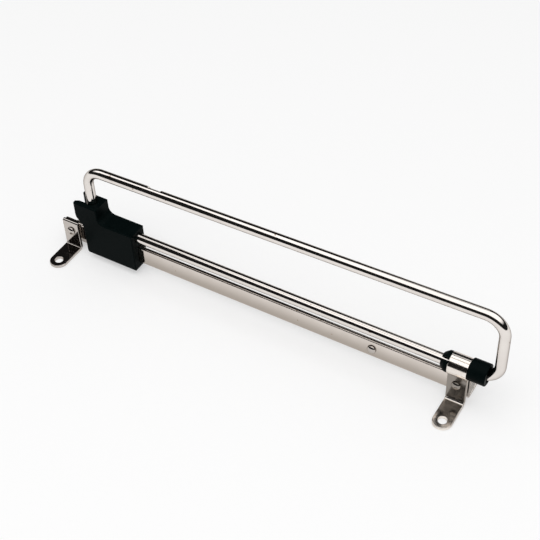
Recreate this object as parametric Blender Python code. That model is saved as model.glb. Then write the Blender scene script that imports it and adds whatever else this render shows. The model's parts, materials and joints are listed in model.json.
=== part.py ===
"""Pull-out clothes rail: a rod loop that slides through a bush and along a flat bar.

Metres, +Z up. The mounting feet stand on z = 0, +X is the pull direction, and the rod lies in y = 0.
The origin is the middle of the closed rail's footprint, on the mounting plane.
"""

import math

import bmesh
import bpy
from mathutils import Matrix, Vector

# Clearances
SEAT_GAP = 0.0002
SLIDE_GAP = 0.0003
BUSH_RUNNING_GAP = 0.0002

# Round rod bent into a closed loop
ROD_DIAMETER = 0.0070
LOOP_BEND_RADIUS = 0.0130
LOOP_REAR_HEIGHT = 0.0460
LOOP_FRONT_HEIGHT = 0.0513
WELD_FLAT_LENGTH = 0.0095
WELD_FLAT_DEPTH = 0.0009
WELD_FLAT_SETBACK = 0.0549
WELD_FLAT_TILT = math.radians(42.0)

# Flat carrier bar
BAR_HEIGHT = 0.0140
BAR_THICKNESS = 0.0032
BAR_CLEARANCE_BELOW = 0.0087
BAR_END_ROUNDING = 0.0003

# Bent strip of the brackets
BRACKET_SPACING = 0.2951
STRIP_WIDTH = 0.0128
STRIP_THICKNESS = 0.0022
STRIP_EDGE_ROUNDING = 0.0006
STRIP_BEND_INNER_RADIUS = 0.0010
NECK_FILLET_RADIUS = 0.0016
FOOT_HOLE_REACH = 0.0216
FOOT_HOLE_DIAMETER = 0.0058
NEAR_UPRIGHT_RISE = 0.00025
FAR_UPRIGHT_DROP = 0.00295

# Rivets
RIVET_SHANK_DIAMETER = 0.0040
RIVET_HEAD_DIAMETER = 0.0062
RIVET_HEAD_HEIGHT = 0.0020
FRONT_RIVET_RISE = 0.0011
STOP_SETBACK = 0.0590

# Plastic guide bush
BUSH_SLEEVE_WALL = 0.0011
BUSH_COLLAR_WALL = 0.00335
BUSH_COLLAR_LENGTH = 0.0021
BUSH_TAPER_LENGTH = 0.0032
BUSH_TAPER_END_WALL = 0.0009
BUSH_HEAD_WALL = 0.0036
BUSH_HEAD_LENGTH = 0.0116
BUSH_HEAD_LIFT = 0.0012
BUSH_EDGE_ROUNDING = 0.0006
BUSH_COLLAR_ABOVE_BAR = 0.0011
BUSH_SLIT_WIDTH = 0.0020
BUSH_SLIT_ANGLE = math.radians(34.0)
BEND_NEST_DEPTH = 0.0066
FUNNEL_GAP = 0.0004
FUNNEL_LIFT = 0.0030

# Plastic slide block
BLOCK_PARK_GAP = 0.0033
BLOCK_LENGTH_AHEAD = 0.0360
BLOCK_SIDE_WALL = 0.0035
BLOCK_FLOOR_WALL = 0.0033
BLOCK_ROOF_WALL = 0.0018
BLOCK_COLLAR_FRONT_WALL = 0.0042
BLOCK_REAR_WALL = 0.0015
BLOCK_REAR_FLARE = 0.0057
BLOCK_FLARE_START = 0.0030
BLOCK_FLARE_LENGTH = 0.0095
BLOCK_GRIP = 0.0046
BLOCK_FILLET_RADIUS = 0.0050
BLOCK_CHAMFER = 0.0012
BLOCK_EDGE_ROUNDING = 0.0007
BLOCK_SNAP_BITE = 0.0003
BLOCK_MOUTH_FLARE = 0.0014

# Facet counts
ROD_SIDES = 24
BEND_STEPS = 9
ROUND_SIDES = 28
STRIP_STEP = math.radians(13.0)
FOOT_END_STEPS = 16

# Heights
ROD_RADIUS = ROD_DIAMETER / 2
BAR_TOP = BAR_CLEARANCE_BELOW + BAR_HEIGHT
BAR_MIDDLE = BAR_CLEARANCE_BELOW + BAR_HEIGHT / 2
FRONT_RIVET_Z = BAR_MIDDLE + FRONT_RIVET_RISE
BORE_RADIUS = ROD_RADIUS + BUSH_RUNNING_GAP
COLLAR_RADIUS = BORE_RADIUS + BUSH_COLLAR_WALL
ROD_AXIS = BAR_TOP + BUSH_COLLAR_ABOVE_BAR + COLLAR_RADIUS

# Places along the rail, with 0 at the middle of the closed rail
HEAD_BACK = STRIP_WIDTH / 2 + SEAT_GAP
HEAD_FRONT = HEAD_BACK + BUSH_HEAD_LENGTH
FRONT_LEG_REACH = HEAD_FRONT - BEND_NEST_DEPTH + LOOP_BEND_RADIUS
OVERALL_LENGTH = STRIP_WIDTH / 2 + BRACKET_SPACING + FRONT_LEG_REACH + ROD_RADIUS
REAR_X = STRIP_WIDTH / 2 - OVERALL_LENGTH / 2
FRONT_X = REAR_X + BRACKET_SPACING
FRONT_LEG_X = FRONT_X + FRONT_LEG_REACH
CHANNEL_RADIUS = ROD_RADIUS + SLIDE_GAP
BLOCK_REAR_REACH = CHANNEL_RADIUS + BLOCK_REAR_WALL
REAR_LEG_X = REAR_X + STRIP_WIDTH / 2 + BLOCK_PARK_GAP + BLOCK_REAR_FLARE + BLOCK_REAR_REACH
LOOP_LENGTH = FRONT_LEG_X - REAR_LEG_X

# Bent strip sizes shared by the brackets, on the strip's middle line
UPRIGHT_Y = BAR_THICKNESS / 2 + SEAT_GAP + STRIP_THICKNESS / 2
STRIP_BEND_RADIUS = STRIP_BEND_INNER_RADIUS + STRIP_THICKNESS / 2
FOOT_TIP_REACH = FOOT_HOLE_REACH + STRIP_WIDTH / 2
FOOT_RUN = FOOT_TIP_REACH - UPRIGHT_Y - STRIP_BEND_RADIUS
UPRIGHT_START = STRIP_THICKNESS / 2 + STRIP_BEND_RADIUS
SLEEVE_RADIUS = BORE_RADIUS + BUSH_SLEEVE_WALL
RING_RADIUS = SLEEVE_RADIUS + SEAT_GAP + STRIP_THICKNESS / 2

# Finishes as colour, metallic and roughness
NICKEL_STRIP = ((0.60, 0.56, 0.52, 1.0), 1.0, 0.22)
NICKEL_ROD = ((0.66, 0.63, 0.60, 1.0), 1.0, 0.12)
BLACK_PLASTIC = ((0.012, 0.012, 0.014, 1.0), 0.0, 0.38)


# Mesh helpers


def prism(outline, depth, place):
    """Extrude a closed outline through depth; place turns (u, v, w) into a point."""
    solid = bmesh.new()
    low = [solid.verts.new(place(u, v, -depth / 2)) for u, v in outline]
    high = [solid.verts.new(place(u, v, depth / 2)) for u, v in outline]
    solid.faces.new(low)
    solid.faces.new(high)
    for index in range(len(outline)):
        after = (index + 1) % len(outline)
        solid.faces.new((low[index], low[after], high[after], high[index]))
    bmesh.ops.recalc_face_normals(solid, faces=solid.faces)
    return solid


def loft(rings, closed):
    """Join equal rings of points into a tube that closes on itself or is capped at both ends."""
    solid = bmesh.new()
    loops = [[solid.verts.new(point) for point in ring] for ring in rings]
    count = len(loops[0])
    pairs = list(zip(loops, loops[1:]))
    if closed:
        pairs.append((loops[-1], loops[0]))
    else:
        solid.faces.new(loops[0])
        solid.faces.new(loops[-1])
    for first, second in pairs:
        for index in range(count):
            after = (index + 1) % count
            solid.faces.new((first[index], first[after], second[after], second[index]))
    bmesh.ops.recalc_face_normals(solid, faces=solid.faces)
    return solid


def turned(profile, sides, place):
    """Turn an open (along, radius) profile about its axis; flat caps close both ends."""
    rings = []
    for along, radius in profile:
        angles = [2 * math.pi * step / sides for step in range(sides)]
        rings.append([place(along, radius * math.cos(a), radius * math.sin(a)) for a in angles])
    return loft(rings, closed=False)


def along_x(along, across, up):
    """Point of a piece turned about X."""
    return Vector((along, across, up))


def along_y(along, across, up):
    """Point of a piece turned about Y."""
    return Vector((across, along, up))


def along_z(along, across, up):
    """Point of a piece turned about Z."""
    return Vector((across, up, along))


def box(low, high):
    """Closed box between two corners."""
    solid = bmesh.new()
    bmesh.ops.create_cube(solid, size=1.0)
    size = Vector(high) - Vector(low)
    middle = (Vector(high) + Vector(low)) / 2
    bmesh.ops.transform(solid, matrix=Matrix.Translation(middle) @ Matrix.Diagonal(size.to_4d()), verts=solid.verts)
    return solid


def cylinder(place, radius, low, high, sides):
    """Closed cylinder between two places along its axis."""
    return turned([(low, radius), (high, radius)], sides, place)


def arc_points(centre, radius, start, end, steps):
    """Points on an arc, both ends included."""
    angles = [start + (end - start) * step / steps for step in range(steps + 1)]
    return [(centre[0] + radius * math.cos(a), centre[1] + radius * math.sin(a)) for a in angles]


def round_edges(solid, edges, size, segments):
    """Round the given edges."""
    bmesh.ops.bevel(
        solid, geom=edges, offset=size, segments=segments, profile=0.5, affect="EDGES", material=-1
    )


def cut(target, cutter):
    """Take the cutter's solid away from the target's."""
    holder = to_object("cutter", cutter)
    modifier = target.modifiers.new("cut", "BOOLEAN")
    modifier.operation = "DIFFERENCE"
    modifier.solver = "EXACT"
    modifier.object = holder
    graph = bpy.context.evaluated_depsgraph_get()
    cut_mesh = bpy.data.meshes.new_from_object(target.evaluated_get(graph))
    target.modifiers.clear()
    old_mesh = target.data
    target.data = cut_mesh
    bpy.data.meshes.remove(old_mesh)
    bpy.data.objects.remove(holder)


def to_object(name, solid):
    """Put a solid into the scene as a named object."""
    mesh = bpy.data.meshes.new(name)
    solid.to_mesh(mesh)
    solid.free()
    item = bpy.data.objects.new(name, mesh)
    bpy.context.scene.collection.objects.link(item)
    return item


def dress(item, finish, smooth_angle):
    """Give the object its own finish and smooth shading up to an edge angle."""
    colour, metallic, roughness = finish
    material = bpy.data.materials.new(item.name)
    material.use_nodes = True
    shader = material.node_tree.nodes["Principled BSDF"]
    shader.inputs["Base Color"].default_value = colour
    shader.inputs["Metallic"].default_value = metallic
    shader.inputs["Roughness"].default_value = roughness
    item.data.materials.clear()
    item.data.materials.append(material)
    item.data.shade_smooth()
    item.data.set_sharp_from_angle(angle=smooth_angle)
    item.data.name = item.name


# Carrier bar


def make_carrier_bar():
    """Flat bar with full-round long edges and a hole for each rivet."""
    edge_radius = BAR_THICKNESS / 2
    edge_reach = BAR_HEIGHT / 2 - edge_radius
    outline = arc_points((0.0, edge_reach), edge_radius, 0.0, math.pi, 8)
    outline += arc_points((0.0, -edge_reach), edge_radius, math.pi, 2 * math.pi, 8)
    length = BRACKET_SPACING + STRIP_WIDTH
    solid = prism(outline, length, lambda u, v, w: Vector((w, u, v)))
    ends = [edge for edge in solid.edges if abs(edge.verts[0].co.x - edge.verts[1].co.x) < length / 2]
    round_edges(solid, ends, BAR_END_ROUNDING, 1)
    bar = to_object("carrier_bar", solid)
    bar_x = (REAR_X + FRONT_X) / 2
    for rivet_x, rise in ((REAR_X, 0.0), (FRONT_X, FRONT_RIVET_RISE), (FRONT_X - STOP_SETBACK, 0.0)):
        cut(bar, rivet_hole(rivet_x - bar_x, rise, BAR_THICKNESS))
    bar.location = (bar_x, 0.0, BAR_MIDDLE)
    dress(bar, NICKEL_STRIP, math.radians(40))
    return bar


# Rivets


def rivet_hole(x, z, depth):
    """Cutter for a rivet's hole across the rail."""
    hole = cylinder(along_y, RIVET_SHANK_DIAMETER / 2 + SEAT_GAP, -depth, depth, ROUND_SIDES)
    bmesh.ops.translate(hole, vec=(x, 0.0, z), verts=hole.verts)
    return hole


def make_rivet(name, x, z, grip):
    """Rivet with a dome at both ends; grip is the distance between the heads."""
    head_radius = RIVET_HEAD_DIAMETER / 2
    steps = 5
    dome = []
    for step in range(steps):
        angle = math.pi / 2 * step / steps
        dome.append((grip / 2 + RIVET_HEAD_HEIGHT * math.sin(angle), head_radius * math.cos(angle)))
    shank = (grip / 2, RIVET_SHANK_DIAMETER / 2)
    half = [shank] + dome
    profile = [(-along, radius) for along, radius in reversed(half)] + half
    rivet = to_object(name, turned(profile, ROUND_SIDES, along_y))
    rivet.location = (x, 0.0, z)
    dress(rivet, NICKEL_STRIP, math.radians(40))
    return rivet


# Bent strip brackets


def follow(moves, start, heading, distance):
    """Point and heading at a distance along a path of straight runs and bends."""
    y, z = start
    for radius, amount in moves:
        run = amount if radius == 0.0 else radius * abs(amount)
        part = min(distance, run)
        if radius == 0.0:
            y += part * math.cos(heading)
            z += part * math.sin(heading)
        else:
            side = 1.0 if amount > 0 else -1.0
            centre_y = y - side * radius * math.sin(heading)
            centre_z = z + side * radius * math.cos(heading)
            heading += side * part / radius
            y = centre_y + side * radius * math.sin(heading)
            z = centre_z - side * radius * math.cos(heading)
        distance -= part
        if distance <= 0.0:
            break
    return y, z, heading


def path_length(moves):
    """Length of a path of straight runs and bends."""
    return sum(amount if radius == 0.0 else radius * abs(amount) for radius, amount in moves)


def strip_outline(length, round_far_end):
    """Flat outline of a strip with a round end at 0 and a round or square end at its length."""
    half = STRIP_WIDTH / 2
    outline = arc_points((0.0, half), half, math.pi, 2 * math.pi, FOOT_END_STEPS)
    if round_far_end:
        outline += arc_points((0.0, length - half), half, 0.0, math.pi, FOOT_END_STEPS)
    else:
        outline += [(half, length), (-half, length)]
    return outline


def bent_strip(moves, start, heading, round_far_end):
    """Cut a flat strip, round its edges and bend it along the path."""
    length = path_length(moves)
    outline = strip_outline(length, round_far_end)
    solid = prism(outline, STRIP_THICKNESS, lambda u, v, w: Vector((u, v, w)))
    rims = [edge for edge in solid.edges if abs(edge.verts[0].co.z - edge.verts[1].co.z) < STRIP_THICKNESS / 2]
    round_edges(solid, rims, STRIP_EDGE_ROUNDING, 2)
    reached = 0.0
    for radius, amount in moves:
        run = amount if radius == 0.0 else radius * abs(amount)
        steps = 0 if radius == 0.0 else max(3, math.ceil(abs(amount) / STRIP_STEP))
        for step in range(steps + 1):
            place = reached + run * step / max(steps, 1)
            if STRIP_WIDTH / 2 < place < length - STRIP_THICKNESS:
                geometry = solid.verts[:] + solid.edges[:] + solid.faces[:]
                bmesh.ops.bisect_plane(solid, geom=geometry, plane_co=(0, place, 0), plane_no=(0, 1, 0))
        reached += run
    for vert in solid.verts:
        y, z, turn = follow(moves, start, heading, vert.co.y)
        lift = vert.co.z
        vert.co = Vector((vert.co.x, y - lift * math.sin(turn), z + lift * math.cos(turn)))
    bmesh.ops.recalc_face_normals(solid, faces=solid.faces)
    return solid


def foot_hole(y):
    """Cutter for a foot's screw hole."""
    hole = cylinder(along_z, FOOT_HOLE_DIAMETER / 2, -STRIP_THICKNESS, 2 * STRIP_THICKNESS, ROUND_SIDES)
    bmesh.ops.translate(hole, vec=(0.0, y, 0.0), verts=hole.verts)
    return hole


def make_rear_bracket(name, upright_top, turn):
    """L-shaped bracket with its foot toward -Y before it is turned about Z."""
    moves = [(0.0, FOOT_RUN), (STRIP_BEND_RADIUS, math.pi / 2), (0.0, upright_top - UPRIGHT_START)]
    start = (-FOOT_TIP_REACH, STRIP_THICKNESS / 2)
    bracket = to_object(name, bent_strip(moves, start, 0.0, round_far_end=False))
    cut(bracket, foot_hole(-FOOT_HOLE_REACH))
    cut(bracket, rivet_hole(0.0, BAR_MIDDLE, UPRIGHT_Y + STRIP_THICKNESS))
    bracket.location = (REAR_X, 0.0, 0.0)
    bracket.rotation_euler = (0.0, 0.0, turn)
    dress(bracket, NICKEL_STRIP, math.radians(40))
    return bracket


def make_saddle_bracket():
    """One strip bent into two feet, two uprights and a ring round the bush."""
    fillet_y = UPRIGHT_Y + NECK_FILLET_RADIUS
    centre_distance = RING_RADIUS + NECK_FILLET_RADIUS
    fillet_z = ROD_AXIS - math.sqrt(centre_distance**2 - fillet_y**2)
    neck_turn = math.acos(fillet_y / centre_distance)
    ring_turn = math.pi + 2 * neck_turn
    upright_run = fillet_z - UPRIGHT_START
    moves = [
        (0.0, FOOT_RUN),
        (STRIP_BEND_RADIUS, math.pi / 2),
        (0.0, upright_run),
        (NECK_FILLET_RADIUS, neck_turn),
        (RING_RADIUS, -ring_turn),
        (NECK_FILLET_RADIUS, neck_turn),
        (0.0, upright_run),
        (STRIP_BEND_RADIUS, math.pi / 2),
        (0.0, FOOT_RUN),
    ]
    start = (-FOOT_TIP_REACH, STRIP_THICKNESS / 2)
    saddle = to_object("front_saddle_bracket", bent_strip(moves, start, 0.0, round_far_end=True))
    for side in (-1, 1):
        cut(saddle, foot_hole(side * FOOT_HOLE_REACH))
    cut(saddle, rivet_hole(0.0, FRONT_RIVET_Z, UPRIGHT_Y + STRIP_THICKNESS))
    saddle.location = (FRONT_X, 0.0, 0.0)
    dress(saddle, NICKEL_STRIP, math.radians(40))
    return saddle


# Guide bush


def bush_profile():
    """Closed half section of the bush as (along X, radius), bore included."""
    head_radius = BORE_RADIUS + BUSH_HEAD_WALL
    edge = BUSH_EDGE_ROUNDING
    collar_back = HEAD_BACK + BUSH_COLLAR_LENGTH
    tail = collar_back + BUSH_TAPER_LENGTH
    return [
        (-tail, BORE_RADIUS),
        (-tail, BORE_RADIUS + BUSH_TAPER_END_WALL),
        (-collar_back, COLLAR_RADIUS),
        (-HEAD_BACK - edge, COLLAR_RADIUS),
        (-HEAD_BACK, COLLAR_RADIUS - edge),
        (-HEAD_BACK, SLEEVE_RADIUS),
        (HEAD_BACK, SLEEVE_RADIUS),
        (HEAD_BACK, head_radius - edge),
        (HEAD_BACK + edge, head_radius),
        (HEAD_FRONT - edge, head_radius),
        (HEAD_FRONT, head_radius - edge),
        (HEAD_FRONT, BORE_RADIUS),
    ]


def funnel_cutter():
    """Slot that the loop's front bend nests in and leaves through, along +X."""
    radius = ROD_RADIUS + FUNNEL_GAP
    bend_start = HEAD_FRONT - BEND_NEST_DEPTH
    reach = BEND_NEST_DEPTH + BUSH_EDGE_ROUNDING
    steps = 8
    rings = []
    for step in range(steps + 1):
        ahead = reach * step / steps
        rise_angle = math.asin(ahead / LOOP_BEND_RADIUS)
        rise = LOOP_BEND_RADIUS * (1 - math.cos(rise_angle))
        lift = FUNNEL_LIFT * step / steps
        stretch = radius / math.cos(rise_angle)
        ring = []
        for side in range(ROUND_SIDES):
            angle = 2 * math.pi * side / ROUND_SIDES
            up = radius * math.sin(angle) if math.sin(angle) < 0 else rise + lift + stretch * math.sin(angle)
            ring.append(Vector((bend_start + ahead, radius * math.cos(angle), up)))
        rings.append(ring)
    return loft(rings, closed=False)


def slit_cutter():
    """Thin box that splits the sleeve and its collar toward the viewer's side."""
    tail = HEAD_BACK + BUSH_COLLAR_LENGTH + BUSH_TAPER_LENGTH
    half = BUSH_SLIT_WIDTH / 2
    slit = box((-tail - SEAT_GAP, -half, 0.0), (HEAD_BACK - BUSH_EDGE_ROUNDING, half, 2 * COLLAR_RADIUS))
    bmesh.ops.rotate(slit, matrix=Matrix.Rotation(BUSH_SLIT_ANGLE, 3, "X"), verts=slit.verts)
    return slit


def make_guide_bush():
    """Split bush with a tapered snap collar behind the saddle and a nesting head in front."""
    angles = [2 * math.pi * step / ROUND_SIDES for step in range(ROUND_SIDES)]
    profile = bush_profile()
    rings = []
    for angle in angles:
        ring = []
        for x, radius in profile:
            on_head = x >= HEAD_BACK and radius > SLEEVE_RADIUS
            lift = BUSH_HEAD_LIFT if on_head else 0.0
            ring.append(along_x(x, radius * math.cos(angle), radius * math.sin(angle) + lift))
        rings.append(ring)
    bush = to_object("guide_bush", loft(rings, closed=True))
    cut(bush, funnel_cutter())
    cut(bush, slit_cutter())
    bush.location = (FRONT_X, 0.0, ROD_AXIS)
    dress(bush, BLACK_PLASTIC, math.radians(35))
    return bush


# Rod loop


def loop_tube(radius):
    """Closed tube round the loop, with its local origin where the lower rod meets the rear leg's axis."""
    corners = [
        Vector((LOOP_LENGTH, 0.0, 0.0)),
        Vector((LOOP_LENGTH, 0.0, LOOP_FRONT_HEIGHT)),
        Vector((0.0, 0.0, LOOP_REAR_HEIGHT)),
        Vector((0.0, 0.0, 0.0)),
    ]
    rings = []
    for index, corner in enumerate(corners):
        arriving = (corner - corners[index - 1]).normalized()
        leaving = (corners[(index + 1) % len(corners)] - corner).normalized()
        turn = arriving.angle(leaving)
        inward = (leaving - arriving).normalized()
        bend_centre = corner + inward * LOOP_BEND_RADIUS / math.cos(turn / 2)
        start = math.atan2(-arriving.x, arriving.z)
        for step in range(BEND_STEPS + 1):
            angle = start + turn * step / BEND_STEPS
            outward = Vector((math.cos(angle), 0.0, math.sin(angle)))
            rings.append(tube_ring(bend_centre + LOOP_BEND_RADIUS * outward, outward, radius))
    return loft(rings, closed=True)


def tube_ring(centre, outward, radius):
    """Ring of points round a tube's centre, across the loop's plane."""
    ring = []
    for side in range(ROD_SIDES):
        angle = 2 * math.pi * side / ROD_SIDES
        ring.append(centre + radius * (math.cos(angle) * outward + math.sin(angle) * Vector((0.0, 1.0, 0.0))))
    return ring


def make_rod_loop():
    """Welded rod loop with the ground flat of its weld on the far side of the upper rod."""
    loop = to_object("rod_loop", loop_tube(ROD_RADIUS))
    slope = math.atan2(LOOP_FRONT_HEIGHT - LOOP_REAR_HEIGHT, LOOP_LENGTH)
    half = WELD_FLAT_LENGTH / 2
    flat = box((-half, -ROD_RADIUS, ROD_RADIUS - WELD_FLAT_DEPTH), (half, ROD_RADIUS, ROD_DIAMETER))
    bmesh.ops.rotate(flat, matrix=Matrix.Rotation(-WELD_FLAT_TILT, 3, "X"), verts=flat.verts)
    bmesh.ops.rotate(flat, matrix=Matrix.Rotation(-slope, 3, "Y"), verts=flat.verts)
    flat_z = LOOP_REAR_HEIGHT + WELD_FLAT_SETBACK * math.tan(slope)
    bmesh.ops.translate(flat, vec=(WELD_FLAT_SETBACK, 0.0, flat_z), verts=flat.verts)
    cut(loop, flat)
    loop.location = (REAR_LEG_X, 0.0, ROD_AXIS)
    dress(loop, NICKEL_ROD, math.radians(30))
    return loop


# Slide block


def block_outline():
    """Side outline of the block as (x, z) from the rear leg's axis and the lower rod's axis."""
    bottom = BAR_CLEARANCE_BELOW - SLIDE_GAP - BLOCK_FLOOR_WALL - ROD_AXIS
    roof = CHANNEL_RADIUS + BLOCK_ROOF_WALL
    top = LOOP_BEND_RADIUS + BLOCK_GRIP
    collar_front = CHANNEL_RADIUS + BLOCK_COLLAR_FRONT_WALL
    rear = -BLOCK_REAR_REACH
    fillet = min(BLOCK_FILLET_RADIUS, top - roof - BLOCK_EDGE_ROUNDING)
    fillet_centre = (collar_front + fillet, roof + fillet)
    outline = [(rear + BLOCK_CHAMFER, bottom), (BLOCK_LENGTH_AHEAD, bottom), (BLOCK_LENGTH_AHEAD, roof)]
    outline += arc_points(fillet_centre, fillet, 1.5 * math.pi, math.pi, 6)
    outline += [(collar_front, top), (rear - BLOCK_REAR_FLARE, top)]
    steps = 6
    for step in range(steps + 1):
        share = 1 - step / steps
        swell = BLOCK_REAR_FLARE * (1 - math.cos(math.pi * share)) / 2
        outline.append((rear - swell, BLOCK_FLARE_LENGTH * share - BLOCK_FLARE_START))
    outline.append((rear, bottom + BLOCK_CHAMFER))
    return outline


def leg_slot_cutter():
    """Slot that the rear leg snaps through, narrower than the rod and flared at its mouth."""
    neck = ROD_RADIUS - BLOCK_SNAP_BITE
    mouth = neck + BLOCK_MOUTH_FLARE
    rear = -BLOCK_REAR_REACH - BLOCK_REAR_FLARE
    outline = [
        (0.0, -neck),
        (0.0, neck),
        (rear + 2 * BLOCK_MOUTH_FLARE, neck),
        (rear, mouth),
        (rear - BLOCK_MOUTH_FLARE, mouth + BLOCK_MOUTH_FLARE / 2),
        (rear - BLOCK_MOUTH_FLARE, -mouth - BLOCK_MOUTH_FLARE / 2),
        (rear, -mouth),
        (rear + 2 * BLOCK_MOUTH_FLARE, -neck),
    ]
    floor = LOOP_BEND_RADIUS - CHANNEL_RADIUS - BLOCK_GRIP
    ceiling = LOOP_BEND_RADIUS + 2 * BLOCK_GRIP
    slot = prism(outline, ceiling - floor, lambda u, v, w: Vector((u, v, w)))
    bmesh.ops.translate(slot, vec=(0.0, 0.0, (ceiling + floor) / 2), verts=slot.verts)
    return slot


def make_slide_block(loop):
    """Block that grips the loop's rear bend and rides on the carrier bar."""
    half_width = CHANNEL_RADIUS + BLOCK_SIDE_WALL
    solid = prism(block_outline(), 2 * half_width, lambda u, v, w: Vector((u, w, v)))
    rims = [edge for edge in solid.edges if abs(edge.verts[0].co.y - edge.verts[1].co.y) < half_width]
    round_edges(solid, rims, BLOCK_EDGE_ROUNDING, 2)
    block = to_object("slide_block", solid)
    slot_half = BAR_THICKNESS / 2 + SLIDE_GAP
    slot_low = (-2 * BLOCK_LENGTH_AHEAD, -slot_half, BAR_CLEARANCE_BELOW - SLIDE_GAP - ROD_AXIS)
    slot_high = (2 * BLOCK_LENGTH_AHEAD, slot_half, BAR_TOP + SLIDE_GAP - ROD_AXIS)
    cut(block, box(slot_low, slot_high))
    cut(block, loop_tube(CHANNEL_RADIUS))
    cut(block, leg_slot_cutter())
    block.parent = loop
    dress(block, BLACK_PLASTIC, math.radians(35))
    return block


def main():
    """Clear the scene and build every piece."""
    for item in list(bpy.data.objects):
        bpy.data.objects.remove(item)
    make_carrier_bar()
    make_rear_bracket("rear_bracket_near", BAR_TOP + NEAR_UPRIGHT_RISE, 0.0)
    make_rear_bracket("rear_bracket_far", BAR_TOP - FAR_UPRIGHT_DROP, math.pi)
    make_saddle_bracket()
    bracket_grip = 2 * (UPRIGHT_Y + STRIP_THICKNESS / 2 + SEAT_GAP)
    make_rivet("rear_rivet", REAR_X, BAR_MIDDLE, bracket_grip)
    make_rivet("front_rivet", FRONT_X, FRONT_RIVET_Z, bracket_grip)
    make_rivet("stop_rivet", FRONT_X - STOP_SETBACK, BAR_MIDDLE, BAR_THICKNESS + 2 * SEAT_GAP)
    make_guide_bush()
    loop = make_rod_loop()
    make_slide_block(loop)
    bpy.context.view_layer.update()


if __name__ == "__main__":
    main()
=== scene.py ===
"""Looks of the pull-out clothes rail: plated rod loop, bent strip brackets and black mouldings.

Metres, +Z up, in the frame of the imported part: the feet stand on z = 0, +X is the pull direction and the
rod lies in y = 0. Every piece of the part is modelled again here with fine bends, rounded edges and its
finish, in the place of the plain solid that it stands for.
"""

from __future__ import annotations

import json
import logging
import math
from collections.abc import Iterable
from dataclasses import dataclass
from enum import Enum

import bmesh
import bpy
from bmesh.types import BMEdge, BMesh, BMFace, BMVert
from bpy.types import Material, Node, NodeSocket, Object, World
from mathutils import Matrix, Vector

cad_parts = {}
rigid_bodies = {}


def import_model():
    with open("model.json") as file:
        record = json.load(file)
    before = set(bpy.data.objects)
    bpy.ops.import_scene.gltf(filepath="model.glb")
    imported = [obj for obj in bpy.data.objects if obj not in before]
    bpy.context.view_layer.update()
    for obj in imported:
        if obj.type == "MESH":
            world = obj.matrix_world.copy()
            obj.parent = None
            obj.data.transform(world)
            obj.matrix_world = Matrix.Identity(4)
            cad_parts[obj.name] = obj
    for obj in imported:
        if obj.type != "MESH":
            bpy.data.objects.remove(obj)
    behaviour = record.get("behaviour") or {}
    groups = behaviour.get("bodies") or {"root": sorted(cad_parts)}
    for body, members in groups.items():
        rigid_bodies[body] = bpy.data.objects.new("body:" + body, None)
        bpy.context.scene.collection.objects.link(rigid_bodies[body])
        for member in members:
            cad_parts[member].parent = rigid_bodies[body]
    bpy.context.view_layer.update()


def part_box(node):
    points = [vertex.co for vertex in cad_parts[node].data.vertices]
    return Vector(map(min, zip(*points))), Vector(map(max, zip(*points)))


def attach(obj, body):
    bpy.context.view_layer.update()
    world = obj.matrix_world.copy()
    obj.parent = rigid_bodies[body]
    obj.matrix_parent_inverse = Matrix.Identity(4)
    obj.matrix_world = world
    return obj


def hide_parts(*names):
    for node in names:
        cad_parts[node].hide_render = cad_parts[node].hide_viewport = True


LOG = logging.getLogger("clothes_rail")

MERGE_DISTANCE = 1e-6
PLANE_TOLERANCE = 1e-5
ACROSS = Vector((0.0, 1.0, 0.0))
ALONG = Vector((1.0, 0.0, 0.0))
UP = Vector((0.0, 0.0, 1.0))
ROUND_PROFILE = 0.5
PIN_SIDES = 48
SHARP_ANGLE = math.radians(60)
STEEL_CREASE = math.radians(40)
RIVET_CREASE = math.radians(30)
PLASTIC_CREASE = math.radians(35)
STRONG_FACE_WEIGHT = 100


class Body(Enum):
    """Moving groups of the rail."""

    FIXED = "fixed_rail"
    SLIDING = "sliding_loop"


class Slot(Enum):
    """Finish slots of the part's record."""

    STRIP = "nickel_strip"
    ROD = "nickel_rod"
    PLASTIC = "black_plastic"


class Side(Enum):
    """Side of the bar that a bracket stands on, as its turn about Z."""

    NEAR = 0.0
    FAR = math.pi


# Finishes

Colour = tuple[float, float, float, float]
NO_STRETCH = (1.0, 1.0, 1.0)
NOISE_LOW = 0.3
NOISE_HIGH = 0.7


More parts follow.
